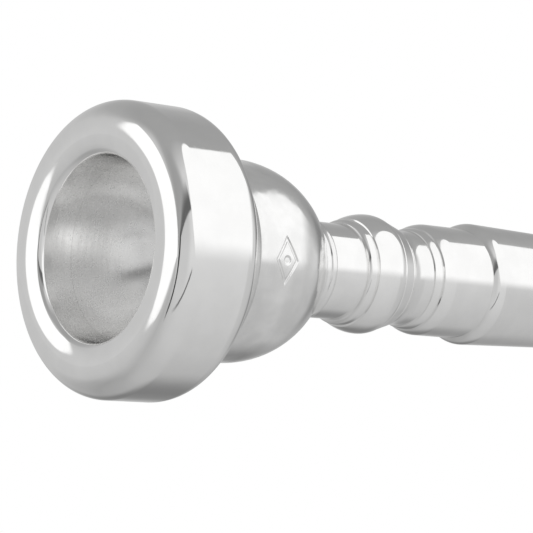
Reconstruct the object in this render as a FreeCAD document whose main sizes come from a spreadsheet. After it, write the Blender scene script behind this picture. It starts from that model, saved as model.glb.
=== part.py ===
import FreeCAD, Part
import os
import Sketcher

os.makedirs("parts", exist_ok=True)

doc = FreeCAD.newDocument("mouthpiece")

# ---------------------------------------------------------------------------
# Driving dimensions, millimetres. Names ending in _at are distances along the
# axis from the front of the rim; names ending in _rad are radii.
# ---------------------------------------------------------------------------
DIMENSIONS = [
    ("overall_length", "88.0"),
    ("zero_at", "0"),
    # rim face and side
    ("rim_rad", "13.4"),
    ("crest_rad", "10.5"),
    ("face_roll", "4.7"),
    ("edge_roll", "2.35"),
    ("bite_rad", "8.9"),
    ("bite_roll", "0.8"),
    ("bite_end_at", "0.916"),
    ("bite_end_rad", "8.381"),
    ("rim_side_end_at", "7.0"),
    ("rim_back_roll", "2.1"),
    # rim joint
    ("rim_ledge_at", "3.5"),
    ("rim_ledge_rad", "8.0"),
    ("rim_tap_rad", "9.63"),
    ("rim_tap_end_at", "7.35"),
    ("rim_land_at", "7.6"),
    ("rim_land_rad", "10.15"),
    ("rim_land_break", "0.15"),
    # cup spigot
    ("spigot_face_at", "3.53"),
    ("spigot_bore_rad", "7.995"),
    ("spigot_root_rad", "9.55"),
    ("spigot_break", "0.3"),
    ("rim_groove_at", "7.8"),
    ("rim_groove_end_at", "8.8"),
    ("rim_groove_rad", "9.2"),
    ("spigot_land_rad", "10.05"),
    # cup outside
    ("shoulder_rad", "11.2"),
    ("shoulder_cone_at", "9.35"),
    ("shoulder_foot_at", "11.4"),
    ("shoulder_cove", "19.0"),
    ("bowl_top_at", "15.03"),
    ("bowl_top_rad", "9.45"),
    ("bowl_roll", "9.98"),
    ("bowl_end_at", "23.4"),
    ("neck_cove", "0.75"),
    ("neck_cove_end_at", "24.3"),
    ("neck_cove_rad", "4.66"),
    ("neck_ring_roll", "0.5"),
    ("neck_ring_rad", "4.74"),
    ("cup_end_at", "25.0"),
    # cup inside
    ("cup_wall_roll", "11.5"),
    ("cup_floor_at", "11.3"),
    ("cup_floor_rad", "2.7"),
    ("throat_roll", "2.0"),
    ("throat_at", "13.0"),
    ("throat_rad", "1.83"),
    # cup socket
    ("socket_floor_at", "16.7"),
    ("socket_tap_rad", "3.13"),
    ("socket_tap_end_at", "22.4"),
    ("socket_land_at", "22.6"),
    ("socket_land_rad", "3.6"),
    ("socket_break", "0.12"),
    # shank spigot
    ("tenon_face_at", "16.8"),
    ("tenon_root_rad", "3.05"),
    ("tenon_break", "0.3"),
    ("tenon_collar_at", "22.65"),
    ("tenon_rad", "3.5"),
    ("shank_groove_at", "22.95"),
    ("shank_groove_end_at", "24.0"),
    ("shank_groove_rad", "2.7"),
    # neck, bead and collar of the shank
    ("neck_rad", "4.6"),
    ("edge_break", "0.06"),
    ("neck_end_at", "28.85"),
    ("ring_foot_at", "28.9"),
    ("ring_foot_rad", "4.7"),
    ("ring_roll", "0.55"),
    ("ring_top_at", "29.35"),
    ("ring_top_rad", "5.08"),
    ("ring_line_at", "29.75"),
    ("ring_line_rad", "5.12"),
    ("line_depth", "0.13"),
    ("line_half", "0.09"),
    ("bead_start_at", "29.93"),
    ("bead_start_rad", "5.26"),
    ("bead_roll", "4.43"),
    ("bead_top_at", "32.05"),
    ("bead_top_rad", "5.8"),
    ("bead_fall_roll", "2.33"),
    ("scribe_a_at", "33.1"),
    ("scribe_a_rad", "5.55"),
    ("scribe_depth", "0.07"),
    ("scribe_half", "0.06"),
    ("scribe_b_at", "34.5"),
    ("scribe_b_rad", "5.1"),
    ("waist_cove", "4.57"),
    ("waist_at", "36.5"),
    ("waist_rad", "4.66"),
    ("collar_at", "37.6"),
    ("collar_foot_at", "37.66"),
    ("collar_foot_rad", "4.8"),
    ("collar_low_roll", "1.6"),
    ("collar_mid_at", "38.42"),
    ("collar_mid_rad", "5.02"),
    ("collar_line_half", "0.1"),
    ("collar_top_at", "38.64"),
    ("collar_top_rad", "5.12"),
    ("collar_roll", "2.45"),
    ("body_at", "39.95"),
    ("body_rad", "5.5"),
    ("step_groove_at", "44.88"),
    ("step_groove_half", "0.1"),
    ("step_groove_depth", "0.16"),
    ("step_roll", "1.345"),
    ("step_top_at", "46.2"),
    ("step_top_rad", "6.1"),
    # tapered shank
    ("tip_roll", "0.35"),
    ("tip_taper_end_at", "87.65"),
    ("tip_taper_end_rad", "5.01"),
    ("tip_face_rad", "4.66"),
    ("exit_rad", "4.25"),
    ("exit_break", "0.1"),
    ("backbore_at", "27.0"),
    ("backbore_curve", "1030.0"),
    # seal rings
    ("rim_seal_at", "8.3"),
    ("rim_seal_mid_rad", "9.66"),
    ("rim_seal_cord_rad", "0.45"),
    ("shank_seal_at", "23.475"),
    ("shank_seal_mid_rad", "3.13"),
    ("shank_seal_cord_rad", "0.42"),
    # threads
    ("pitch", "0.75"),
    ("rim_thread_at", "4.75"),
    ("rim_thread_run", "2.25"),
    ("rim_thread_top_rad", "10.0"),
    ("rim_tap_at", "4.0"),
    ("rim_tap_run", "3.75"),
    ("rim_tap_top_rad", "10.08"),
    ("shank_thread_at", "17.9"),
    ("shank_thread_run", "3.75"),
    ("shank_thread_top_rad", "3.5"),
    ("shank_tap_at", "17.15"),
    ("shank_tap_run", "6.0"),
    ("shank_tap_top_rad", "3.58"),
    ("ridge_foot_half", "0.355"),
    ("ridge_top_half", "0.06"),
    ("flute_foot_half", "0.36"),
    ("flute_top_half", "0.074"),
    ("ridge_sink", "0.06"),
    ("flute_sink", "0.05"),
    # maker-neutral stamp on the bowl
    ("stamp_at", "14.8"),
    ("stamp_half_length", "1.35"),
    ("stamp_half_width", "2.3"),
    ("stamp_line", "0.42"),
    ("stamp_depth", "0.12"),
    ("stamp_dot_rad", "0.42"),
    ("stamp_band_half", "3.5"),
    ("stamp_band_rad", "11.0"),
    ("stamp_reach", "12.0"),
]

# Cells worked out from the driving dimensions.
WORKED = [
    ("edge_centre_at",
     "=face_roll - sqrt((face_roll - edge_roll)^2 - (rim_rad - edge_roll - crest_rad)^2)"),
    ("edge_start_at",
     "=face_roll - face_roll * (face_roll - edge_centre_at) / (face_roll - edge_roll)"),
    ("edge_start_rad",
     "=crest_rad + face_roll * (rim_rad - edge_roll - crest_rad) / (face_roll - edge_roll)"),
    ("bite_at",
     "=face_roll - sqrt(face_roll^2 - (crest_rad - bite_rad)^2)"),
    ("rim_back_at", "=rim_side_end_at + rim_back_roll"),
    ("rim_back_rad", "=rim_rad - rim_back_roll"),
    ("rim_land_mouth_rad", "=rim_land_rad + rim_land_break"),
    ("rim_land_break_at", "=rim_back_at - rim_land_break"),
    ("spigot_break_rad", "=spigot_root_rad - spigot_break"),
    ("spigot_break_at", "=spigot_face_at + spigot_break"),
    ("shoulder_foot_rad",
     "=bowl_top_rad + shoulder_cove - sqrt(shoulder_cove^2 - (bowl_top_at - shoulder_foot_at)^2)"),
    ("bowl_end_rad",
     "=bowl_top_rad - bowl_roll + sqrt(bowl_roll^2 - (bowl_end_at - bowl_top_at)^2)"),
    ("socket_mouth_rad", "=socket_land_rad + socket_break"),
    ("socket_mouth_at", "=cup_end_at - socket_break"),
    ("tenon_break_rad", "=tenon_root_rad - tenon_break"),
    ("tenon_break_at", "=tenon_face_at + tenon_break"),
    ("neck_break_rad", "=neck_rad - edge_break"),
    ("neck_break_at", "=cup_end_at + edge_break"),
    ("ring_line_low_at", "=ring_line_at + line_half"),
    ("ring_line_low_rad", "=ring_line_rad - line_depth"),
    ("scribe_a_in_at", "=scribe_a_at + scribe_half"),
    ("scribe_a_low_rad", "=scribe_a_rad - scribe_depth"),
    ("scribe_a_out_at", "=scribe_a_at + 2 * scribe_half"),
    ("scribe_a_out_rad", "=scribe_a_rad - scribe_depth / 2"),
    ("scribe_b_in_at", "=scribe_b_at + scribe_half"),
    ("scribe_b_low_rad", "=scribe_b_rad - scribe_depth"),
    ("scribe_b_out_at", "=scribe_b_at + 2 * scribe_half"),
    ("scribe_b_out_rad", "=scribe_b_rad - scribe_depth / 2"),
    ("collar_line_low_at", "=collar_mid_at + collar_line_half"),
    ("collar_line_low_rad", "=collar_mid_rad - line_depth"),
    ("step_groove_low_at", "=step_groove_at + step_groove_half"),
    ("step_groove_low_rad", "=body_rad - step_groove_depth"),
    ("step_foot_at", "=step_groove_at + 2 * step_groove_half"),
    ("exit_face_rad", "=exit_rad + exit_break"),
    ("exit_break_at", "=overall_length - exit_break"),
    ("rim_ridge_foot_rad", "=spigot_root_rad - ridge_sink"),
    ("shank_ridge_foot_rad", "=tenon_root_rad - ridge_sink"),
    ("rim_flute_foot_rad", "=rim_tap_rad - flute_sink"),
    ("shank_flute_foot_rad", "=socket_tap_rad - flute_sink"),
    ("stamp_floor_rad", "=bowl_top_rad - stamp_depth"),
    ("stamp_floor_roll", "=bowl_roll - stamp_depth"),
    ("stamp_floor_cove", "=shoulder_cove + stamp_depth"),
    ("stamp_front_at", "=bowl_top_at - stamp_band_half"),
    ("stamp_back_at", "=bowl_top_at + stamp_band_half"),
    ("stamp_front_rad",
     "=stamp_floor_rad + stamp_floor_cove - sqrt(stamp_floor_cove^2 - stamp_band_half^2)"),
    ("stamp_back_rad",
     "=stamp_floor_rad - stamp_floor_roll + sqrt(stamp_floor_roll^2 - stamp_band_half^2)"),
    ("stamp_inner_length", "=stamp_half_length - stamp_line"),
    ("stamp_inner_width", "=stamp_half_width - 1.7 * stamp_line"),
    ("frame_shift", "=-overall_length"),
    ("full_turn", "=360"),
]

sheet = doc.addObject("Spreadsheet::Sheet", "dims")
row = 1
for alias, text in DIMENSIONS + WORKED:
    sheet.set("A%d" % row, alias)
    sheet.set("B%d" % row, text)
    sheet.setAlias("B%d" % row, alias)
    row = row + 1
doc.recompute()


def size(alias):
    """Present value of one sheet cell."""
    value = sheet.get(alias)
    return float(value.Value if hasattr(value, "Value") else value)


def bind(obj, prop, alias):
    """Ties one property to one sheet cell."""
    obj.setExpression(prop, "dims." + alias)


def new_body(label):
    """A turned piece whose own zero is the front of the rim, shifted into the shared frame."""
    body = doc.addObject("PartDesign::Body", label)
    body.Label = label
    bind(body, "Placement.Base.x", "frame_shift")
    return body


def plane_of(body, role):
    for feature in body.Origin.OriginFeatures:
        if feature.Role == role:
            return feature
    raise RuntimeError("no plane " + role)


def new_sketch(body, name, role="XY_Plane"):
    sketch = body.newObject("Sketcher::SketchObject", name)
    sketch.AttachmentSupport = [(plane_of(body, role), "")]
    sketch.MapMode = "FlatFace"
    return sketch


def pin_point(sketch, edge, point, along, across):
    """Fixes one sketch point by two sheet cells measured from the origin."""
    for kind, alias in (("DistanceX", along), ("DistanceY", across)):
        index = sketch.addConstraint(Sketcher.Constraint(kind, -1, 1, edge, point, size(alias)))
        bind(sketch, "Constraints[%d]" % index, alias)


def arc_through(start, end, radius, side):
    """Short arc from start to end; side +1 puts its centre to the left of the run, -1 to the right."""
    chord = end - start
    left = FreeCAD.Vector(-chord.y, chord.x, 0).normalize()
    reach = max(radius ** 2 - (chord.Length / 2) ** 2, 0.0) ** 0.5
    middle = (start + end) * 0.5
    crown = middle - left * (side * (radius - reach))
    return Part.Arc(start, crown, end)


def outline(sketch, corners):
    """Closed outline. A corner is (along, across) or (along, across, arc cell, side)."""
    spots = []
    for corner in corners:
        spots.append(FreeCAD.Vector(size(corner[0]), size(corner[1]), 0))
    count = len(corners)
    ends = []
    for number in range(count):
        corner = corners[number]
        start = spots[number]
        end = spots[(number + 1) % count]
        if len(corner) == 2:
            edge = sketch.addGeometry(Part.LineSegment(start, end), False)
            ends.append((edge, 1, 2))
            continue
        arc = arc_through(start, end, size(corner[2]), corner[3])
        edge = sketch.addGeometry(arc, False)
        gap_at_one = (sketch.getPoint(edge, 1) - start).Length
        gap_at_two = (sketch.getPoint(edge, 2) - start).Length
        first = 1 if gap_at_one < gap_at_two else 2
        ends.append((edge, first, 3 - first))
    for number in range(count):
        edge, _, last = ends[number]
        follower, first, _ = ends[(number + 1) % count]
        sketch.addConstraint(Sketcher.Constraint("Coincident", edge, last, follower, first))
    for number in range(count):
        edge, first, _ = ends[number]
        pin_point(sketch, edge, first, corners[number][0], corners[number][1])
        if len(corners[number]) == 4:
            alias = corners[number][2]
            index = sketch.addConstraint(Sketcher.Constraint("Radius", edge, size(alias)))
            bind(sketch, "Constraints[%d]" % index, alias)


def turn(body, name, sketch):
    feature = body.newObject("PartDesign::Revolution", name)
    feature.Profile = sketch
    feature.ReferenceAxis = (sketch, ["H_Axis"])
    bind(feature, "Angle", "full_turn")
    sketch.Visibility = False
    return feature


def turned_piece(label, corners):
    body = new_body(label)
    sketch = new_sketch(body, label + "_outline")
    outline(sketch, corners)
    turn(body, label + "_turned", sketch)
    doc.recompute()
    return body


def thread(body, name, kind, start, run, foot_rad, top_rad, foot_half, top_half):
    """Right-hand helical ridge (AdditiveHelix) or flute (SubtractiveHelix)."""
    before = body.Shape.Volume
    sketch = new_sketch(body, name + "_form")
    foot = size(foot_rad)
    top = size(top_rad)
    middle = size(start)
    wide = size(foot_half)
    slim = size(top_half)
    spots = [
        FreeCAD.Vector(middle - wide, foot, 0),
        FreeCAD.Vector(middle + wide, foot, 0),
        FreeCAD.Vector(middle + slim, top, 0),
        FreeCAD.Vector(middle - slim, top, 0),
    ]
    edges = []
    for number in range(4):
        line = Part.LineSegment(spots[number], spots[(number + 1) % 4])
        edges.append(sketch.addGeometry(line, False))
    for number in range(4):
        follower = edges[(number + 1) % 4]
        sketch.addConstraint(Sketcher.Constraint("Coincident", edges[number], 2, follower, 1))
    rules = [
        ("DistanceX", 0, 1, "dims.%s - dims.%s" % (start, foot_half), middle - wide),
        ("DistanceX", 1, 1, "dims.%s + dims.%s" % (start, foot_half), middle + wide),
        ("DistanceX", 2, 1, "dims.%s + dims.%s" % (start, top_half), middle + slim),
        ("DistanceX", 3, 1, "dims.%s - dims.%s" % (start, top_half), middle - slim),
        ("DistanceY", 0, 1, "dims." + foot_rad, foot),
        ("DistanceY", 1, 1, "dims." + foot_rad, foot),
        ("DistanceY", 2, 1, "dims." + top_rad, top),
        ("DistanceY", 3, 1, "dims." + top_rad, top),
    ]
    for rule, edge, point, expression, value in rules:
        index = sketch.addConstraint(Sketcher.Constraint(rule, -1, 1, edge, point, value))
        sketch.setExpression("Constraints[%d]" % index, expression)
    helix = body.newObject("PartDesign::" + kind, name)
    helix.Profile = sketch
    helix.ReferenceAxis = (sketch, ["H_Axis"])
    helix.Mode = "pitch-height-angle"
    bind(helix, "Pitch", "pitch")
    bind(helix, "Height", run)
    helix.Angle = 0
    helix.LeftHanded = False
    helix.Reversed = False
    sketch.Visibility = False
    doc.recompute()
    change = body.Shape.Volume - before
    print(name, "volume change", round(change, 3))
    if (kind == "AdditiveHelix") != (change > 0.5):
        raise RuntimeError(name + " did not change the piece as it should")
    return helix


# ---------------------------------------------------------------------------
# Rim: screwed ring with the rounded face the lips rest on
# ---------------------------------------------------------------------------
rim = turned_piece("rim", [
    ("bite_at", "bite_rad", "face_roll", -1),
    ("zero_at", "crest_rad", "face_roll", -1),
    ("edge_start_at", "edge_start_rad", "edge_roll", -1),
    ("edge_centre_at", "rim_rad"),
    ("rim_side_end_at", "rim_rad", "rim_back_roll", -1),
    ("rim_back_at", "rim_back_rad"),
    ("rim_back_at", "rim_land_mouth_rad"),
    ("rim_land_break_at", "rim_land_rad"),
    ("rim_land_at", "rim_land_rad"),
    ("rim_tap_end_at", "rim_tap_rad"),
    ("rim_ledge_at", "rim_tap_rad"),
    ("rim_ledge_at", "rim_ledge_rad"),
    ("bite_end_at", "bite_end_rad", "bite_roll", -1),
])
thread(rim, "rim_tapping", "SubtractiveHelix", "rim_tap_at", "rim_tap_run",
       "rim_flute_foot_rad", "rim_tap_top_rad", "flute_foot_half", "flute_top_half")

# ---------------------------------------------------------------------------
# Cup: bowl with a screw spigot in front and a tapped socket behind
# ---------------------------------------------------------------------------
cup_turned = turned_piece("cup_turned", [
    ("spigot_face_at", "spigot_bore_rad"),
    ("spigot_face_at", "spigot_break_rad"),
    ("spigot_break_at", "spigot_root_rad"),
    ("rim_groove_at", "spigot_root_rad"),
    ("rim_groove_at", "rim_groove_rad"),
    ("rim_groove_end_at", "rim_groove_rad"),
    ("rim_groove_end_at", "spigot_land_rad"),
    ("rim_back_at", "spigot_land_rad"),
    ("rim_back_at", "shoulder_rad"),
    ("shoulder_cone_at", "shoulder_rad"),
    ("shoulder_foot_at", "shoulder_foot_rad", "shoulder_cove", 1),
    ("bowl_top_at", "bowl_top_rad", "bowl_roll", -1),
    ("bowl_end_at", "bowl_end_rad", "neck_cove", 1),
    ("neck_cove_end_at", "neck_cove_rad", "neck_ring_roll", -1),
    ("cup_end_at", "neck_ring_rad"),
    ("cup_end_at", "socket_mouth_rad"),
    ("socket_mouth_at", "socket_land_rad"),
    ("socket_land_at", "socket_land_rad"),
    ("socket_tap_end_at", "socket_tap_rad"),
    ("socket_floor_at", "socket_tap_rad"),
    ("socket_floor_at", "throat_rad"),
    ("throat_at", "throat_rad", "throat_roll", -1),
    ("cup_floor_at", "cup_floor_rad", "cup_wall_roll", 1),
])
thread(cup_turned, "cup_thread", "AdditiveHelix", "rim_thread_at", "rim_thread_run",
       "rim_ridge_foot_rad", "rim_thread_top_rad", "ridge_foot_half", "ridge_top_half")
thread(cup_turned, "cup_tapping", "SubtractiveHelix", "shank_tap_at", "shank_tap_run",
       "shank_flute_foot_rad", "shank_tap_top_rad", "flute_foot_half", "flute_top_half")

# Stamp on the side of the bowl: a plain lozenge with a dot, sunk to an even depth.
stamp_band = turned_piece("stamp_band", [
    ("stamp_front_at", "stamp_front_rad"),
    ("stamp_front_at", "stamp_band_rad"),
    ("stamp_back_at", "stamp_band_rad"),
    ("stamp_back_at", "stamp_back_rad", "stamp_floor_roll", 1),
    ("bowl_top_at", "stamp_floor_rad", "stamp_floor_cove", -1),
])
stamp_punch = new_body("stamp_punch")
stamp_sketch = new_sketch(stamp_punch, "stamp_outline", "XZ_Plane")


def lozenge(sketch, half_length, half_width):
    """Four-sided figure centred on the stamp, tied to the sheet."""
    middle = size("stamp_at")
    long = size(half_length)
    wide = size(half_width)
    tips = [(middle - long, 0), (middle, wide), (middle + long, 0), (middle, -wide)]
    rules = [
        ("dims.stamp_at - dims." + half_length, None),
        ("dims.stamp_at", "dims." + half_width),
        ("dims.stamp_at + dims." + half_length, None),
        ("dims.stamp_at", "-dims." + half_width),
    ]
    edges = []
    for number in range(4):
        start = FreeCAD.Vector(tips[number][0], tips[number][1], 0)
        end = FreeCAD.Vector(tips[(number + 1) % 4][0], tips[(number + 1) % 4][1], 0)
        edges.append(sketch.addGeometry(Part.LineSegment(start, end), False))
    for number in range(4):
        follower = edges[(number + 1) % 4]
        sketch.addConstraint(Sketcher.Constraint("Coincident", edges[number], 2, follower, 1))
    for number in range(4):
        along, across = rules[number]
        tip = tips[number]
        rule = Sketcher.Constraint("DistanceX", -1, 1, edges[number], 1, tip[0])
        index = sketch.addConstraint(rule)
        sketch.setExpression("Constraints[%d]" % index, along)
        if across is None:
            sketch.addConstraint(Sketcher.Constraint("PointOnObject", edges[number], 1, -1))
            continue
        rule = Sketcher.Constraint("DistanceY", -1, 1, edges[number], 1, tip[1])
        index = sketch.addConstraint(rule)
        sketch.setExpression("Constraints[%d]" % index, across)


lozenge(stamp_sketch, "stamp_half_length", "stamp_half_width")
lozenge(stamp_sketch, "stamp_inner_length", "stamp_inner_width")
dot_middle = FreeCAD.Vector(size("stamp_at"), 0, 0)
dot_circle = Part.Circle(dot_middle, FreeCAD.Vector(0, 0, 1), size("stamp_dot_rad"))
dot = stamp_sketch.addGeometry(dot_circle, False)
stamp_sketch.addConstraint(Sketcher.Constraint("PointOnObject", dot, 3, -1))
dot_rule = Sketcher.Constraint("DistanceX", -1, 1, dot, 3, size("stamp_at"))
dot_place = stamp_sketch.addConstraint(dot_rule)
bind(stamp_sketch, "Constraints[%d]" % dot_place, "stamp_at")
dot_size = stamp_sketch.addConstraint(Sketcher.Constraint("Radius", dot, size("stamp_dot_rad")))
bind(stamp_sketch, "Constraints[%d]" % dot_size, "stamp_dot_rad")
punch = stamp_punch.newObject("PartDesign::Pad", "stamp_punch_pad")
punch.Profile = stamp_sketch
bind(punch, "Length", "stamp_reach")
stamp_sketch.Visibility = False
doc.recompute()
print("punch y range", stamp_punch.Shape.BoundBox.YMin, stamp_punch.Shape.BoundBox.YMax)

stamp = doc.addObject("Part::MultiCommon", "stamp")
stamp.Shapes = [stamp_punch, stamp_band]
cup = doc.addObject("Part::Cut", "cup")
cup.Base = cup_turned
cup.Tool = stamp
cup.Label = "cup"
doc.recompute()
print("stamp volume", round(cup_turned.Shape.Volume - cup.Shape.Volume, 4))

# ---------------------------------------------------------------------------
# Backbore and shank: screw tenon, neck, bead, collar, step and taper
# ---------------------------------------------------------------------------
shank = turned_piece("backbore_shank", [
    ("tenon_face_at", "throat_rad"),
    ("tenon_face_at", "tenon_break_rad"),
    ("tenon_break_at", "tenon_root_rad"),
    ("tenon_collar_at", "tenon_root_rad"),
    ("tenon_collar_at", "tenon_rad"),
    ("shank_groove_at", "tenon_rad"),
    ("shank_groove_at", "shank_groove_rad"),
    ("shank_groove_end_at", "shank_groove_rad"),
    ("shank_groove_end_at", "tenon_rad"),
    ("cup_end_at", "tenon_rad"),
    ("cup_end_at", "neck_break_rad"),
    ("neck_break_at", "neck_rad"),
    ("neck_end_at", "neck_rad"),
    ("ring_foot_at", "ring_foot_rad", "ring_roll", -1),
    ("ring_top_at", "ring_top_rad"),
    ("ring_line_at", "ring_line_rad"),
    ("ring_line_low_at", "ring_line_low_rad"),
    ("bead_start_at", "bead_start_rad", "bead_roll", -1),
    ("bead_top_at", "bead_top_rad", "bead_fall_roll", -1),
    ("scribe_a_at", "scribe_a_rad"),
    ("scribe_a_in_at", "scribe_a_low_rad"),
    ("scribe_a_out_at", "scribe_a_out_rad"),
    ("scribe_b_at", "scribe_b_rad"),
    ("scribe_b_in_at", "scribe_b_low_rad"),
    ("scribe_b_out_at", "scribe_b_out_rad", "waist_cove", 1),
    ("waist_at", "waist_rad"),
    ("collar_at", "waist_rad"),
    ("collar_foot_at", "collar_foot_rad", "collar_low_roll", -1),
    ("collar_mid_at", "collar_mid_rad"),
    ("collar_line_low_at", "collar_line_low_rad"),
    ("collar_top_at", "collar_top_rad", "collar_roll", -1),
    ("body_at", "body_rad"),
    ("step_groove_at", "body_rad"),
    ("step_groove_low_at", "step_groove_low_rad"),
    ("step_foot_at", "body_rad", "step_roll", -1),
    ("step_top_at", "step_top_rad"),
    ("tip_taper_end_at", "tip_taper_end_rad", "tip_roll", -1),
    ("overall_length", "tip_face_rad"),
    ("overall_length", "exit_face_rad"),
    ("exit_break_at", "exit_rad", "backbore_curve", 1),
    ("backbore_at", "throat_rad"),
])
thread(shank, "shank_thread", "AdditiveHelix", "shank_thread_at", "shank_thread_run",
       "shank_ridge_foot_rad", "shank_thread_top_rad", "ridge_foot_half", "ridge_top_half")


# ---------------------------------------------------------------------------
# Seal rings, drawn squeezed into their grooves
# ---------------------------------------------------------------------------
def seal_ring(label, along, across, cord):
    body = new_body(label)
    sketch = new_sketch(body, label + "_cord")
    centre = FreeCAD.Vector(size(along), size(across), 0)
    circle = sketch.addGeometry(Part.Circle(centre, FreeCAD.Vector(0, 0, 1), size(cord)), False)
    pin_point(sketch, circle, 3, along, across)
    index = sketch.addConstraint(Sketcher.Constraint("Radius", circle, size(cord)))
    bind(sketch, "Constraints[%d]" % index, cord)
    turn(body, label + "_ring", sketch)
    doc.recompute()
    return body


rim_o_ring = seal_ring("rim_o_ring", "rim_seal_at", "rim_seal_mid_rad", "rim_seal_cord_rad")
backbore_o_ring = seal_ring("backbore_o_ring", "shank_seal_at", "shank_seal_mid_rad",
                            "shank_seal_cord_rad")

# ---------------------------------------------------------------------------
# Checks on the document, then one file for each piece
# ---------------------------------------------------------------------------
doc.recompute()
for obj in doc.Objects:
    if "Invalid" in obj.State or "Error" in obj.State:
        raise RuntimeError(obj.Name + " failed: " + ", ".join(obj.State))

for piece in (rim, rim_o_ring, cup, backbore_o_ring, shank):
    shape = piece.Shape
    if shape.isNull() or not shape.isValid() or len(shape.Solids) != 1:
        raise RuntimeError(piece.Label + " is not one sound solid")
    box = shape.BoundBox
    print("%-16s volume %9.2f  x %7.2f .. %6.2f  radius %.2f" % (
        piece.Label, shape.Volume, box.XMin, box.XMax, box.YMax))
    shape.exportStep("parts/" + piece.Label + ".step")
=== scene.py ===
import math

import bpy
import numpy as np
from mathutils import Matrix, Vector


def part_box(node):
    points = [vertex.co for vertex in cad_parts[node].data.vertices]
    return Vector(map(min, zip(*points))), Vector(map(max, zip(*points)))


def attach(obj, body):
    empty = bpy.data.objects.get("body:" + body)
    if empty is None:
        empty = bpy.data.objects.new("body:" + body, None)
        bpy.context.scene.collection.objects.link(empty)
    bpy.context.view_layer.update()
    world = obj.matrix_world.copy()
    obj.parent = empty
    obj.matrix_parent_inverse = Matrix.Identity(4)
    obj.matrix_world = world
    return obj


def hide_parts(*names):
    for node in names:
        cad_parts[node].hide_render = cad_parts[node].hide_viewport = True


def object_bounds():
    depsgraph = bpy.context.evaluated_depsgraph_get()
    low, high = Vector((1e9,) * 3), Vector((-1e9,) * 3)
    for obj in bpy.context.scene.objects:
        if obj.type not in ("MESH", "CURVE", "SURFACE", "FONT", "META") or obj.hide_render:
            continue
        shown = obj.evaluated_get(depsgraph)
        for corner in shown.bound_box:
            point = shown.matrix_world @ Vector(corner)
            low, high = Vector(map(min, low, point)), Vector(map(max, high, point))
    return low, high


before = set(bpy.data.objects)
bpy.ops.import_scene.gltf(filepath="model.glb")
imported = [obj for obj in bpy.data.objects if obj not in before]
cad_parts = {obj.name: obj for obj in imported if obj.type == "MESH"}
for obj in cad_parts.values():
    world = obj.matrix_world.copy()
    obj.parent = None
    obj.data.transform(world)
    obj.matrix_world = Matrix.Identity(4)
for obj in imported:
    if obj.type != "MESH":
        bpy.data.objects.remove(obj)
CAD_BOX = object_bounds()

# ---------------------------------------------------------------------------
# Shared sizes. Outlines are in millimetres: (along, across), where along runs
# from the front of the rim towards the small end and across is the radius.
# A corner may add (arc radius, side) for a round stretch to the next corner.
# ---------------------------------------------------------------------------
MM = 0.001
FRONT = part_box("rim")[0].x
LENGTH = (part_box("backbore_shank")[1].x - FRONT) / MM
ROUND = -1
HOLLOW = 1
FULL_TURN = 2 * math.pi

PITCH = 0.75
THROAT = 1.83
CREST_RADIUS = 10.5
FACE_ROLL = 4.7
EDGE_ROLL = 2.35
RIM_RADIUS = 13.4
BITE_RADIUS = 8.9
SPIGOT_ROOT = 9.55
SPIGOT_TOP = 10.0
RIM_TAP = 9.63
RIM_TAP_TOP = 10.08
TENON_ROOT = 3.05
TENON_TOP = 3.5
SOCKET_TAP = 3.13
SOCKET_TAP_TOP = 3.58
BOWL_RADIUS = 9.45
BOWL_TOP = 15.03
BOWL_ROLL = 9.98
BOWL_END = 23.4
SHOULDER_COVE = 19.0
SHOULDER_FOOT = 11.4
BEAD_LINE = 5.12
BODY_RADIUS = 5.5

BITE = FACE_ROLL - math.sqrt(FACE_ROLL ** 2 - (CREST_RADIUS - BITE_RADIUS) ** 2)
EDGE_OFFSET = RIM_RADIUS - EDGE_ROLL - CREST_RADIUS
EDGE_CENTRE = FACE_ROLL - math.sqrt((FACE_ROLL - EDGE_ROLL) ** 2 - EDGE_OFFSET ** 2)
EDGE_START = FACE_ROLL - FACE_ROLL * (FACE_ROLL - EDGE_CENTRE) / (FACE_ROLL - EDGE_ROLL)
EDGE_START_RADIUS = CREST_RADIUS + FACE_ROLL * EDGE_OFFSET / (FACE_ROLL - EDGE_ROLL)
FOOT_REACH = math.sqrt(SHOULDER_COVE ** 2 - (BOWL_TOP - SHOULDER_FOOT) ** 2)
SHOULDER_FOOT_RADIUS = BOWL_RADIUS + SHOULDER_COVE - FOOT_REACH
BOWL_END_RADIUS = BOWL_RADIUS - BOWL_ROLL + math.sqrt(BOWL_ROLL ** 2 - (BOWL_END - BOWL_TOP) ** 2)

RIM_OUTLINE = [
    (BITE, BITE_RADIUS, FACE_ROLL, ROUND),
    (0.0, CREST_RADIUS, FACE_ROLL, ROUND),
    (EDGE_START, EDGE_START_RADIUS, EDGE_ROLL, ROUND),
    (EDGE_CENTRE, RIM_RADIUS),
    (7.0, RIM_RADIUS, 2.1, ROUND),
    (9.1, RIM_RADIUS - 2.1),
    (9.1, 10.3),
    (8.95, 10.15),
    (7.6, 10.15),
    (7.35, RIM_TAP),
    (3.5, RIM_TAP),
    (3.5, 8.0),
    (0.916, 8.381, 0.8, ROUND),
]

CUP_OUTLINE = [
    (3.51, 7.998),
    (3.51, 9.25),
    (3.83, SPIGOT_ROOT),
    (7.8, SPIGOT_ROOT),
    (7.8, 9.2),
    (8.8, 9.2),
    (8.8, 10.05),
    (9.1, 10.05),
    (9.1, 11.2),
    (9.35, 11.2),
    (SHOULDER_FOOT, SHOULDER_FOOT_RADIUS, SHOULDER_COVE, HOLLOW),
    (BOWL_TOP, BOWL_RADIUS, BOWL_ROLL, ROUND),
    (BOWL_END, BOWL_END_RADIUS, 0.75, HOLLOW),
    (24.3, 4.66, 0.5, ROUND),
    (25.0, 4.74),
    (25.0, 3.72),
    (24.88, 3.6),
    (22.6, 3.6),
    (22.4, SOCKET_TAP),
    (16.7, SOCKET_TAP),
    (16.7, THROAT),
    (13.0, THROAT, 2.0, ROUND),
    (11.3, 2.7, 11.5, HOLLOW),
]

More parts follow.
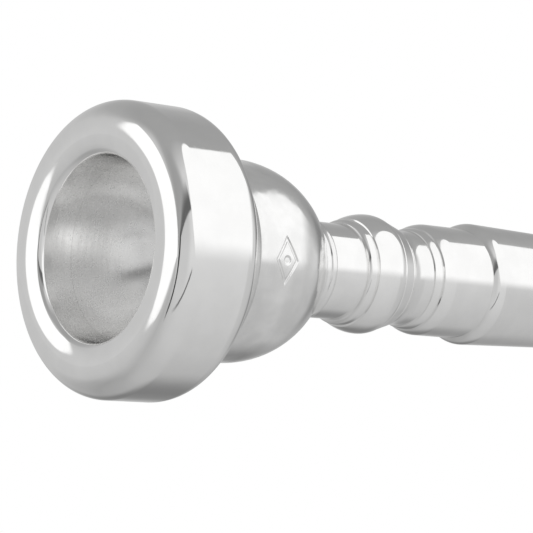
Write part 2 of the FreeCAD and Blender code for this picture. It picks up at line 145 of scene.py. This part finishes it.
SHANK_OUTLINE = [
    (16.8, THROAT),
    (16.8, 2.75),
    (17.1, TENON_ROOT),
    (22.65, TENON_ROOT),
    (22.65, 3.5),
    (22.95, 3.5),
    (22.95, 2.7),
    (24.0, 2.7),
    (24.0, 3.5),
    (25.0, 3.5),
    (25.0, 4.54),
    (25.06, 4.6),
    (28.85, 4.6),
    (28.9, 4.7, 0.55, ROUND),
    (29.35, 5.08),
    (29.75, BEAD_LINE),
    (29.84, BEAD_LINE - 0.13),
    (29.93, 5.26, 4.43, ROUND),
    (32.05, 5.8, 2.33, ROUND),
    (33.1, 5.55),
    (33.16, 5.48),
    (33.22, 5.515),
    (34.5, 5.1),
    (34.56, 5.03),
    (34.62, 5.065, 4.57, HOLLOW),
    (36.5, 4.66),
    (37.6, 4.66),
    (37.66, 4.8, 1.6, ROUND),
    (38.42, 5.02),
    (38.52, 4.89),
    (38.64, 5.12, 2.45, ROUND),
    (39.95, BODY_RADIUS),
    (44.88, BODY_RADIUS),
    (44.98, BODY_RADIUS - 0.16),
    (45.08, BODY_RADIUS, 1.345, ROUND),
    (46.2, 6.1),
    (LENGTH - 0.35, 5.01, 0.35, ROUND),
    (LENGTH, 4.66),
    (LENGTH, 4.35),
    (LENGTH - 0.1, 4.25, 1030.0, HOLLOW),
    (27.0, THROAT),
]

# ---------------------------------------------------------------------------
# Turned surfaces
# ---------------------------------------------------------------------------
ARC_STEP = math.radians(3.5)
SHARP = math.radians(9)
BREAK_STEPS = 5
SEAM_BREAK = 0.004
CRISP_CORNERS = ((3.5, 8.0), (3.51, 7.998))


class Edge:
    """One stretch of an outline, straight or an arc, measured by the distance along it."""

    def __init__(self, start, end, radius=None, side=0):
        self.start = np.array(start[:2], float)
        chord = np.array(end[:2], float) - self.start
        self.radius = radius
        self.side = side
        self.length = float(np.hypot(*chord))
        self.way = chord / self.length
        if radius:
            left = np.array([-self.way[1], self.way[0]])
            reach = math.sqrt(max(radius ** 2 - (self.length / 2) ** 2, 0.0))
            self.centre = self.start + chord / 2 + left * side * reach
            spoke = self.start - self.centre
            self.first = math.atan2(spoke[1], spoke[0])
            self.length = 2 * radius * math.asin(min(1.0, self.length / 2 / radius))

    def spot(self, distance):
        """(along, across, direction along, direction across) at a distance from the start."""
        if not self.radius:
            return (*(self.start + self.way * distance), *self.way)
        angle = self.first + self.side * distance / self.radius
        out = np.array([math.cos(angle), math.sin(angle)])
        turned = np.array([-out[1], out[0]]) * self.side
        return (*(self.centre + out * self.radius), *turned)


def outline_rows(corners, pace, edge_break):
    """Points round an outline with their directions; true corners are broken by a small round."""
    count = len(corners)
    edges = []
    for number in range(count):
        corner = corners[number]
        edges.append(Edge(corner, corners[(number + 1) % count], *corner[2:]))
    cuts = []
    for number in range(count):
        before = edges[number - 1]
        after = edges[number]
        leave = np.array(before.spot(before.length)[2:])
        enter = np.array(after.spot(0.0)[2:])
        bend = math.acos(max(-1.0, min(1.0, float(leave @ enter))))
        room = 0.35 * min(before.length, after.length)
        wanted = SEAM_BREAK if corners[number][:2] in CRISP_CORNERS else edge_break
        cuts.append(min(wanted, room) if bend > SHARP else 0.0)
    rows = []
    for number in range(count):
        edge = edges[number]
        first = cuts[number]
        last = edge.length - cuts[(number + 1) % count]
        places = [first]
        while places[-1] < last:
            along, across = edge.spot(places[-1])[:2]
            step = pace(along, across)
            if edge.radius:
                step = min(step, edge.radius * ARC_STEP)
            places.append(places[-1] + step)
        places = np.array(places)
        places = first + (places - first) * (last - first) / (places[-1] - first)
        cut_after = cuts[(number + 1) % count]
        if not cut_after:
            places = places[:-1]
        rows += [edge.spot(place) for place in places]
        if cut_after:
            tip = np.array(edge.spot(edge.length)[:2])
            start = np.array(edge.spot(last)[:2])
            end = np.array(edges[(number + 1) % count].spot(cut_after)[:2])
            for step in range(1, BREAK_STEPS):
                share = step / BREAK_STEPS
                point = (1 - share) ** 2 * start + 2 * share * (1 - share) * tip + share ** 2 * end
                way = (1 - share) * (tip - start) + share * (end - tip)
                way = way / np.hypot(*way)
                rows.append((*point, *way))
    return np.array(rows)


def smooth(share):
    share = np.clip(share, 0.0, 1.0)
    return share * share * (3 - 2 * share)


def screw(along, angle, start, run, foot, top):
    """Height, from 0 to 1, of a right-hand thread form whose ends fade over part of a turn."""
    fade = 0.3
    turn = np.mod(math.pi - angle, FULL_TURN) / FULL_TURN
    place = (along - start) / PITCH - turn
    nearest = np.round(place)
    away = np.abs(place - nearest) * PITCH
    travelled = nearest + turn
    ends = smooth(travelled / fade) * smooth((run / PITCH - travelled) / fade)
    return ends * smooth((foot - away) / (foot - top))


def turned_mesh(name, rows, angles, relief, finish):
    """Revolves outline rows about the axis. relief adds to the radius; finish picks the material."""
    along = rows[:, 0:1]
    across = rows[:, 1:2]
    raised = relief(along, across, angles[None, :])
    radius = across + raised
    points = np.empty((len(rows), len(angles), 3))
    points[..., 0] = FRONT + along * MM
    points[..., 1] = -radius * np.cos(angles) * MM
    points[..., 2] = radius * np.sin(angles) * MM
    normals = np.empty_like(points)
    normals[..., 0] = -rows[:, 3:4]
    normals[..., 1] = -rows[:, 2:3] * np.cos(angles)
    normals[..., 2] = rows[:, 2:3] * np.sin(angles)
    touched = np.abs(raised) > 1e-6
    for axis in (0, 1):
        for way in (-1, 1):
            touched = touched | np.roll(touched, way, axis)
    down = np.roll(points, -1, 0) - np.roll(points, 1, 0)
    round_ = np.roll(points, -1, 1) - np.roll(points, 1, 1)
    worked = np.cross(round_, down)
    worked = worked / np.maximum(np.linalg.norm(worked, axis=2, keepdims=True), 1e-15)
    worked = worked * np.sign((worked * normals).sum(2, keepdims=True))
    normals = np.where(touched[..., None], worked, normals)

    height, width = points.shape[:2]
    index = np.arange(height * width).reshape(height, width)
    below = np.roll(index, -1, 0)
    quads = np.stack([index, np.roll(index, -1, 1), np.roll(below, -1, 1), below], axis=-1)
    mesh = bpy.data.meshes.new(name)
    mesh.from_pydata(points.reshape(-1, 3).tolist(), [], quads[..., ::-1].reshape(-1, 4).tolist())
    picked = [finish(*row) for row in rows]
    mesh.polygons.foreach_set("material_index", np.repeat(picked, width).astype(np.int32))
    mesh.polygons.foreach_set("use_smooth", np.ones(height * width, bool))
    mesh.update()
    mesh.normals_split_custom_set_from_vertices(normals.reshape(-1, 3).tolist())
    piece = bpy.data.objects.new(name, mesh)
    bpy.context.scene.collection.objects.link(piece)
    return piece


def even_angles(count):
    return np.linspace(0.0, FULL_TURN, count, endpoint=False)


# ---------------------------------------------------------------------------
# Node helper: arithmetic on sockets
# ---------------------------------------------------------------------------
class Wire:
    """A value in a node tree. Arithmetic on it adds Math nodes."""

    def __init__(self, tree, socket):
        self.tree = tree
        self.socket = socket

    def math(self, operation, *others):
        node = self.tree.nodes.new("ShaderNodeMath")
        node.operation = operation
        for number, value in enumerate((self,) + others):
            feed(self.tree, node.inputs[number], value)
        return Wire(self.tree, node.outputs[0])

    def __add__(self, other):
        return self.math("ADD", other)

    def __sub__(self, other):
        return self.math("SUBTRACT", other)

    def __rsub__(self, other):
        return self.math("MULTIPLY_ADD", -1.0, other)

    def __mul__(self, other):
        return self.math("MULTIPLY", other)

    def __truediv__(self, other):
        return self.math("DIVIDE", other)

    def __neg__(self):
        return self.math("MULTIPLY", -1.0)

    def rise(self, low, high):
        """0 below low, 1 above high, smooth between. With low above high it falls instead."""
        node = self.tree.nodes.new("ShaderNodeMapRange")
        node.interpolation_type = "SMOOTHSTEP"
        feed(self.tree, node.inputs["Value"], self)
        feed(self.tree, node.inputs["From Min"], low)
        feed(self.tree, node.inputs["From Max"], high)
        return Wire(self.tree, node.outputs[0])

    def towards(self, other, share):
        """This value where share is 0, other where share is 1."""
        node = self.tree.nodes.new("ShaderNodeMix")
        node.clamp_factor = True
        feed(self.tree, node.inputs[0], share)
        feed(self.tree, node.inputs[2], self)
        feed(self.tree, node.inputs[3], other)
        return Wire(self.tree, node.outputs[0])

    def ramp(self, low, high, stops):
        """Brightness by place: stops are (value between low and high, brightness)."""
        node = self.tree.nodes.new("ShaderNodeValToRGB")
        elements = node.color_ramp.elements
        while len(elements) > 1:
            elements.remove(elements[0])
        for number, (place, brightness) in enumerate(stops):
            position = (place - low) / (high - low)
            stop = elements[0] if number == 0 else elements.new(position)
            stop.position = position
            stop.color = (brightness, brightness, brightness, 1.0)
        feed(self.tree, node.inputs[0], (self - low) / (high - low))
        return Wire(self.tree, node.outputs[0])


def feed(tree, socket, value):
    if isinstance(value, Wire):
        tree.links.new(value.socket, socket)
    else:
        socket.default_value = value


def split(tree, socket):
    node = tree.nodes.new("ShaderNodeSeparateXYZ")
    tree.links.new(socket, node.inputs[0])
    return [Wire(tree, output) for output in node.outputs]


def join(tree, *values):
    node = tree.nodes.new("ShaderNodeCombineXYZ")
    for number, value in enumerate(values):
        feed(tree, node.inputs[number], value)
    return Wire(tree, node.outputs[0])


def noise(tree, place, scale, detail=2.0, fourth=None):
    node = tree.nodes.new("ShaderNodeTexNoise")
    node.noise_dimensions = "4D" if fourth is not None else "3D"
    feed(tree, node.inputs["Vector"], place)
    if fourth is not None:
        feed(tree, node.inputs["W"], fourth)
    node.inputs["Scale"].default_value = scale
    node.inputs["Detail"].default_value = detail
    return Wire(tree, node.outputs["Fac"])


# ---------------------------------------------------------------------------
# Materials
# ---------------------------------------------------------------------------
def new_material(name):
    material = bpy.data.materials.new(name)
    material.use_nodes = True
    tree = material.node_tree
    tree.nodes.clear()
    output = tree.nodes.new("ShaderNodeOutputMaterial")
    shader = tree.nodes.new("ShaderNodeBsdfPrincipled")
    tree.links.new(shader.outputs[0], output.inputs["Surface"])
    return material, tree, shader


def bumped(tree, shader, height, depth):
    node = tree.nodes.new("ShaderNodeBump")
    node.inputs["Distance"].default_value = depth
    node.inputs["Strength"].default_value = 1.0
    tree.links.new(height.socket, node.inputs["Height"])
    tree.links.new(node.outputs[0], shader.inputs["Normal"])


def silver(name, shine, ring_depth, ripple_depth, rings_per_mm, tone, mottle):
    """Silver plate over turned brass, with tool rings, slow ripples from buffing and fine scratches."""
    material, tree, shader = new_material(name)
    coordinates = tree.nodes.new("ShaderNodeTexCoord")
    place = Wire(tree, coordinates.outputs["Object"])
    x, y, z = split(tree, place.socket)
    radius = (y * y + z * z).math("SQRT")
    across_y = y / radius
    across_z = z / radius
    per_metre = rings_per_mm / MM
    ring_place = join(tree, x * per_metre, radius * per_metre, across_y * 0.9)
    rings = noise(tree, ring_place, 1.0, 3.0, across_z * 0.9)
    ripples = noise(tree, place, 230.0, 2.0)
    scratch_place = join(tree, x * 9000.0 + radius * 4000.0, across_y * 26.0, across_z * 26.0)
    scratches = noise(tree, scratch_place, 1.0, 2.0).rise(0.56, 0.72)
    cloud = noise(tree, place, 420.0, 3.0)
    height = rings * ring_depth + ripples * ripple_depth
    bumped(tree, shader, height, 1.0)
    roughness = cloud.rise(0.3, 0.75) * 0.05 + scratches * 0.05 + shine
    tree.links.new(roughness.socket, shader.inputs["Roughness"])
    shade = tone - cloud.rise(0.25, 0.7) * mottle
    colour = join(tree, shade, shade * 0.998, shade * 0.992)
    tree.links.new(colour.socket, shader.inputs["Base Color"])
    shader.inputs["Metallic"].default_value = 1.0
    return material


def rubber(name):
    material, tree, shader = new_material(name)
    coordinates = tree.nodes.new("ShaderNodeTexCoord")
    place = Wire(tree, coordinates.outputs["Object"])
    grain = noise(tree, place, 9000.0, 4.0)
    bloom = noise(tree, place, 700.0, 2.0)
    bumped(tree, shader, grain, 0.006 * MM)
    shade = bloom.rise(0.3, 0.8) * 0.02 + 0.018
    colour = join(tree, shade, shade, shade * 1.04)
    tree.links.new(colour.socket, shader.inputs["Base Color"])
    roughness = grain * 0.2 + 0.5
    tree.links.new(roughness.socket, shader.inputs["Roughness"])
    shader.inputs["IOR"].default_value = 1.52
    return material


polished = silver("polished_silver", 0.03, 0.0007 * MM, 0.012 * MM, 9.0, 0.94, 0.03)
lapped = silver("lapped_silver", 0.05, 0.0012 * MM, 0.02 * MM, 8.0, 0.94, 0.04)
buffed = silver("buffed_silver", 0.10, 0.0030 * MM, 0.12 * MM, 7.0, 0.95, 0.09)
bored = silver("bored_silver", 0.23, 0.012 * MM, 0.010 * MM, 2.6, 1.0, 0.07)
seal_rubber = rubber("seal_rubber")


# ---------------------------------------------------------------------------
# Pieces
# ---------------------------------------------------------------------------
RIM_TAP_AT = 4.0
RIM_TAP_RUN = 3.75
RIM_THREAD_AT = 4.75
RIM_THREAD_RUN = 2.25
SHANK_TAP_AT = 17.15
SHANK_TAP_RUN = 6.0
SHANK_THREAD_AT = 17.9
SHANK_THREAD_RUN = 3.75
MALE_FOOT = 0.33
MALE_TOP = 0.06
FEMALE_FOOT = 0.36
FEMALE_TOP = 0.09
ON_WALL = 0.01
STAMP_AT = 14.8
STAMP_LENGTH = 1.35
STAMP_WIDTH = 2.3
STAMP_LINE = 0.42
STAMP_DEPTH = 0.12
STAMP_SLOPE = 0.12
STAMP_DOT = 0.42


def on_wall(across, wall):
    return np.abs(across - wall) < ON_WALL


def rim_relief(along, across, angle):
    flute = screw(along, angle, RIM_TAP_AT, RIM_TAP_RUN, FEMALE_FOOT, FEMALE_TOP)
    return np.where(on_wall(across, RIM_TAP), flute * (RIM_TAP_TOP - RIM_TAP), 0.0)


def lozenge_inside(along, side, half_length, half_width):
    """Distance inside the edge of a lozenge, in millimetres; negative outside."""
    share = 1 - np.abs(along) / half_length - np.abs(side) / half_width
    return share / math.hypot(1 / half_length, 1 / half_width)


def stamp_depth(along, across, angle):
    side = across * np.sin(angle)
    here = along - STAMP_AT
    outer = lozenge_inside(here, side, STAMP_LENGTH, STAMP_WIDTH)
    inner = lozenge_inside(here, side, STAMP_LENGTH - STAMP_LINE, STAMP_WIDTH - 1.7 * STAMP_LINE)
    ring = smooth(outer / STAMP_SLOPE) * smooth(-inner / STAMP_SLOPE)
    dot = smooth((STAMP_DOT - np.hypot(here, side)) / STAMP_SLOPE)
    facing = (np.cos(angle) > 0.8) & (across > 8.8)
    return np.where(facing, np.maximum(ring, dot) * STAMP_DEPTH, 0.0)


def cup_relief(along, across, angle):
    ridge = screw(along, angle, RIM_THREAD_AT, RIM_THREAD_RUN, MALE_FOOT, MALE_TOP)
    flute = screw(along, angle, SHANK_TAP_AT, SHANK_TAP_RUN, FEMALE_FOOT, FEMALE_TOP)
    raised = np.where(on_wall(across, SPIGOT_ROOT), ridge * (SPIGOT_TOP - SPIGOT_ROOT), 0.0)
    raised = raised + np.where(on_wall(across, SOCKET_TAP), flute * (SOCKET_TAP_TOP - SOCKET_TAP), 0.0)
    bowl = (along > 12.0) & (along < 18.0)
    return raised - np.where(bowl, stamp_depth(along, across, angle), 0.0)


def shank_relief(along, across, angle):
    ridge = screw(along, angle, SHANK_THREAD_AT, SHANK_THREAD_RUN, MALE_FOOT, MALE_TOP)
    return np.where(on_wall(across, TENON_ROOT), ridge * (TENON_TOP - TENON_ROOT), 0.0)


def near(value, low, high):
    return low < value < high


# Distance between rows: short on the threads and under the stamp, longer elsewhere.
THREAD_STEP = 0.06
SOCKET_STEP = 0.07
STAMP_STEP = 0.055
PLAIN_STEP = 0.8
SHANK_STEP = 1.5


def rim_pace(along, across):
    if on_wall(across, RIM_TAP):
        return THREAD_STEP
    return PLAIN_STEP


def cup_pace(along, across):
    if on_wall(across, SPIGOT_ROOT) and near(along, 4.2, 7.5):
        return THREAD_STEP
    if on_wall(across, SOCKET_TAP):
        return SOCKET_STEP
    if across > 9.0 and near(along, 12.2, 16.4):
        return STAMP_STEP
    return PLAIN_STEP


def shank_pace(along, across):
    if on_wall(across, TENON_ROOT) and near(along, 17.4, 22.2):
        return THREAD_STEP
    return SHANK_STEP


def rim_finish(along, across, way_along, way_across):
    return 1 if way_along < 0 and along > 1.6 else 0


def cup_finish(along, across, way_along, way_across):
    if along < 13.0 and across < 8.1 and way_along < 0.0:
        return 1
    return 0


def shank_finish(along, across, way_along, way_across):
    return 1 if way_along < 0 else 0


# Columns of the cup: close together where the stamp is, wider elsewhere.
STAMP_SPREAD = math.radians(16)
STAMP_COLUMNS = 92
OTHER_COLUMNS = 158
RIM_COLUMNS = 320
SHANK_COLUMNS = 240
stamp_columns = np.linspace(-STAMP_SPREAD, STAMP_SPREAD, STAMP_COLUMNS)
other_columns = np.linspace(STAMP_SPREAD, FULL_TURN - STAMP_SPREAD, OTHER_COLUMNS)[1:-1]
cup_angles = np.concatenate([stamp_columns, other_columns])

rim_rows = outline_rows(RIM_OUTLINE, rim_pace, 0.06)
cup_rows = outline_rows(CUP_OUTLINE, cup_pace, 0.05)
shank_rows = outline_rows(SHANK_OUTLINE, shank_pace, 0.04)

rim = turned_mesh("rim_turned", rim_rows, even_angles(RIM_COLUMNS), rim_relief, rim_finish)
cup = turned_mesh("cup_turned", cup_rows, cup_angles, cup_relief, cup_finish)
shank = turned_mesh("shank_turned", shank_rows, even_angles(SHANK_COLUMNS), shank_relief, shank_finish)

for piece, body, node, outside in (
    (rim, "rim", "rim", polished),
    (cup, "cup", "cup", buffed),
    (shank, "shank", "backbore_shank", lapped),
):
    piece.data.materials.append(outside)
    piece.data.materials.append(bored)
    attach(piece, body)
    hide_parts(node)

for node in ("rim_o_ring", "backbore_o_ring"):
    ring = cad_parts[node]
    ring.data.materials.clear()
    ring.data.materials.append(seal_rubber)

# ---------------------------------------------------------------------------
# Floor
# ---------------------------------------------------------------------------
FLOOR_DROP = 0.045
FLOOR_RADIUS = 0.36
FLOOR_FADE = 0.16
FLOOR_RINGS = 24
FLOOR_SECTORS = 96


def make_floor():
    middle = (CAD_BOX[0] + CAD_BOX[1]) / 2
    height = CAD_BOX[0].z - FLOOR_DROP
    points = [(middle.x, middle.y, height)]
    faces = []
    for ring in range(1, FLOOR_RINGS + 1):
        reach = FLOOR_RADIUS * ring / FLOOR_RINGS
        for step in range(FLOOR_SECTORS):
            angle = FULL_TURN * step / FLOOR_SECTORS
            points.append((middle.x + reach * math.cos(angle), middle.y + reach * math.sin(angle), height))
    for step in range(FLOOR_SECTORS):
        following = (step + 1) % FLOOR_SECTORS
        faces.append((0, 1 + step, 1 + following))
        for ring in range(FLOOR_RINGS - 1):
            inner = 1 + ring * FLOOR_SECTORS
            outer = inner + FLOOR_SECTORS
            faces.append((inner + step, outer + step, outer + following, inner + following))
    mesh = bpy.data.meshes.new("floor")
    mesh.from_pydata(points, [], faces)
    floor = bpy.data.objects.new("floor", mesh)
    bpy.context.scene.collection.objects.link(floor)

    material, tree, shader = new_material("pale_floor")
    coordinates = tree.nodes.new("ShaderNodeTexCoord")
    x, y, _ = split(tree, coordinates.outputs["Object"])
    away = ((x - middle.x) * (x - middle.x) + (y - middle.y) * (y - middle.y)).math("SQRT")
    clear = tree.nodes.new("ShaderNodeBsdfTransparent")
    blend = tree.nodes.new("ShaderNodeMixShader")
    output = next(node for node in tree.nodes if node.type == "OUTPUT_MATERIAL")
    tree.links.new(away.rise(FLOOR_FADE, FLOOR_RADIUS).socket, blend.inputs[0])
    tree.links.new(shader.outputs[0], blend.inputs[1])
    tree.links.new(clear.outputs[0], blend.inputs[2])
    tree.links.new(blend.outputs[0], output.inputs["Surface"])
    shader.inputs["Base Color"].default_value = (0.86, 0.86, 0.86, 1.0)
    shader.inputs["Roughness"].default_value = 0.9
    floor.data.materials.append(material)
    floor.visible_glossy = False


make_floor()


# ---------------------------------------------------------------------------
# Studio: a white tent with two bright panels. Directions are told by tilt, the
# angle from the small end's direction, and swing, the angle round the axis
# from the camera's side upwards.
# ---------------------------------------------------------------------------
def make_studio():
    world = bpy.data.worlds.new("studio")
    bpy.context.scene.world = world
    world.use_nodes = True
    tree = world.node_tree
    tree.nodes.clear()
    output = tree.nodes.new("ShaderNodeOutputWorld")
    seen = tree.nodes.new("ShaderNodeBackground")
    lit = tree.nodes.new("ShaderNodeBackground")
    mixed = tree.nodes.new("ShaderNodeMixShader")
    path = tree.nodes.new("ShaderNodeLightPath")
    tree.links.new(path.outputs["Is Camera Ray"], mixed.inputs[0])
    tree.links.new(lit.outputs[0], mixed.inputs[1])
    tree.links.new(seen.outputs[0], mixed.inputs[2])
    tree.links.new(mixed.outputs[0], output.inputs["Surface"])
    seen.inputs["Color"].default_value = (1.0, 1.0, 1.0, 1.0)

    coordinates = tree.nodes.new("ShaderNodeTexCoord")
    x, y, z = split(tree, coordinates.outputs["Generated"])
    degrees = 180 / math.pi
    tilt = x.math("ARCCOSINE") * degrees
    swing = z.math("ARCTAN2", -y) * degrees

    middle = swing.ramp(-180, 180, [
        (-180, 0.58), (-165, 0.55), (-152, 0.42), (-138, 0.36), (-120, 0.40), (-105, 0.48),
        (-90, 0.52), (-75, 0.56), (-45, 0.62), (-20, 0.67), (0, 0.72), (60, 0.66),
        (84, 0.38), (100, 0.37), (120, 0.36), (130, 0.38), (142, 0.42), (158, 0.56),
        (180, 0.60),
    ])
    front = swing.ramp(-180, 180, [
        (-180, 0.58), (-150, 0.52), (-120, 0.46), (-90, 0.50), (-70, 0.56), (-45, 0.61),
        (0, 0.60), (28, 0.57), (45, 0.37), (60, 0.37), (90, 0.35), (105, 0.39),
        (120, 0.58), (135, 0.62), (180, 0.62),
    ])
    rear = swing.ramp(-180, 180, [
        (-180, 0.45), (-150, 0.40), (-120, 0.48), (-60, 0.54), (-20, 0.58), (0, 0.62),
        (30, 0.66), (60, 0.66), (85, 0.48), (100, 0.40), (120, 0.36), (150, 0.34),
        (165, 0.42), (180, 0.45),
    ])
    tent = rear.towards(middle, tilt.rise(38, 52)).towards(front, tilt.rise(118, 138))

    # Dark corner low behind the shank.
    corner = (swing + 140).math("ABSOLUTE").rise(38, 8) * (tilt - 60).math("ABSOLUTE").rise(24, 6)
    tent = tent * (1 - corner * 0.4)
    # Dimmer still straight behind the bowl.
    behind = tilt.rise(34, 22) * swing.math("ABSOLUTE").rise(105, 140)
    tent = tent * (1 - behind * 0.3)

    # Main panel, overhead on the camera's side.
    top_edge = 89 - (tilt - 50) * 0.22 - (tilt - 50) * (tilt - 50) * 0.0052
    front_edge = 116 - (swing - 28) * (swing - 28) * 0.0138
    panel = swing.rise(-6, 12) * (top_edge - swing).rise(-1.0, 1.0)
    panel = panel * (front_edge - tilt).rise(-1.5, 1.5) * tilt.rise(20, 33)
    tent = tent.towards(1.05, panel)

    # Second panel, in front and beyond.
    wrapped = swing + swing.rise(-89.9, -90.1) * 360
    second_edge = 135 - (tilt - 127) * 0.55
    past = (wrapped - 158).math("MAXIMUM", 0.0)
    second_start = past * past * 0.0135 + 126.5
    second = (tilt - second_start).rise(-1.0, 1.5) * (wrapped - second_edge).rise(-1.5, 1.5)
    second = second * wrapped.rise(210, 190)
    tent = tent.towards(1.1, second)

    # Narrow dark slots: one low, one at the side, and one curved, in front.
    slot_across = ((swing + 15) * 48 + (tilt - 112) * 65) / 80.8
    slot_along = ((swing + 15) * -65 + (tilt - 112) * 48) / 80.8
    low_slot = slot_across.math("ABSOLUTE").rise(2.6, 1.0) * slot_along.rise(-6, 0) * slot_along.rise(60, 30)
    side_slot = swing.rise(30, 33) * swing.rise(58, 40) * tilt.rise(115, 119) * tilt.rise(171, 164)
    arc = tilt - (171 - swing * swing * 0.0019)
    front_slot = arc.math("ABSOLUTE").rise(4.0, 2.4) * swing.rise(-92, -84) * swing.rise(50, 42)
    tent = tent.towards(0.16, low_slot)
    tent = tent.towards(0.13, side_slot)
    tent = tent.towards(0.05, front_slot)
    tree.links.new(tent.socket, lit.inputs["Color"])


make_studio()

LAMP_HEIGHT = 0.9
LAMP_SIZE = 0.8
LAMP_POWER = 9.0


def make_lamp():
    """Large soft lamp above the floor. It stays out of the metal's reflections, which the tent fills."""
    data = bpy.data.lights.new("overhead", "AREA")
    data.shape = "DISK"
    data.size = LAMP_SIZE
    data.energy = LAMP_POWER
    lamp = bpy.data.objects.new("overhead", data)
    middle = (CAD_BOX[0] + CAD_BOX[1]) / 2
    lamp.location = middle + Vector((0.0, -0.1, LAMP_HEIGHT))
    lamp.visible_glossy = False
    lamp.visible_camera = False
    bpy.context.scene.collection.objects.link(lamp)


make_lamp()

# ---------------------------------------------------------------------------
# Camera
# ---------------------------------------------------------------------------
CAMERA_AIM = Vector((6.452, -16.529, -1.188))
CAMERA_DISTANCE = 200.0
CAMERA_AZIMUTH = math.radians(-39.871)
CAMERA_ELEVATION = math.radians(-2.750)
CAMERA_ROLL = math.radians(3.287)
CAMERA_LENS = 159.64
SENSOR = 36.0


def make_camera():
    data = bpy.data.cameras.new("camera")
    data.sensor_width = SENSOR
    data.lens = CAMERA_LENS
    data.clip_start = 0.005
    data.clip_end = 20.0
    camera = bpy.data.objects.new("camera", data)
    bpy.context.scene.collection.objects.link(camera)
    level = math.cos(CAMERA_ELEVATION)
    back = Vector((
        math.sin(CAMERA_AZIMUTH) * level,
        -math.cos(CAMERA_AZIMUTH) * level,
        math.sin(CAMERA_ELEVATION),
    ))
    right = Vector((0.0, 0.0, 1.0)).cross(back).normalized()
    up = back.cross(right)
    turned_right = right * math.cos(CAMERA_ROLL) + up * math.sin(CAMERA_ROLL)
    turned_up = up * math.cos(CAMERA_ROLL) - right * math.sin(CAMERA_ROLL)
    facing = Matrix((turned_right, turned_up, back)).transposed().to_4x4()
    place = Vector((FRONT, 0.0, 0.0)) + CAMERA_AIM * MM + back * CAMERA_DISTANCE * MM
    camera.matrix_world = Matrix.Translation(place) @ facing
    bpy.context.scene.camera = camera


make_camera()
bpy.context.scene.view_settings.view_transform = "Standard"
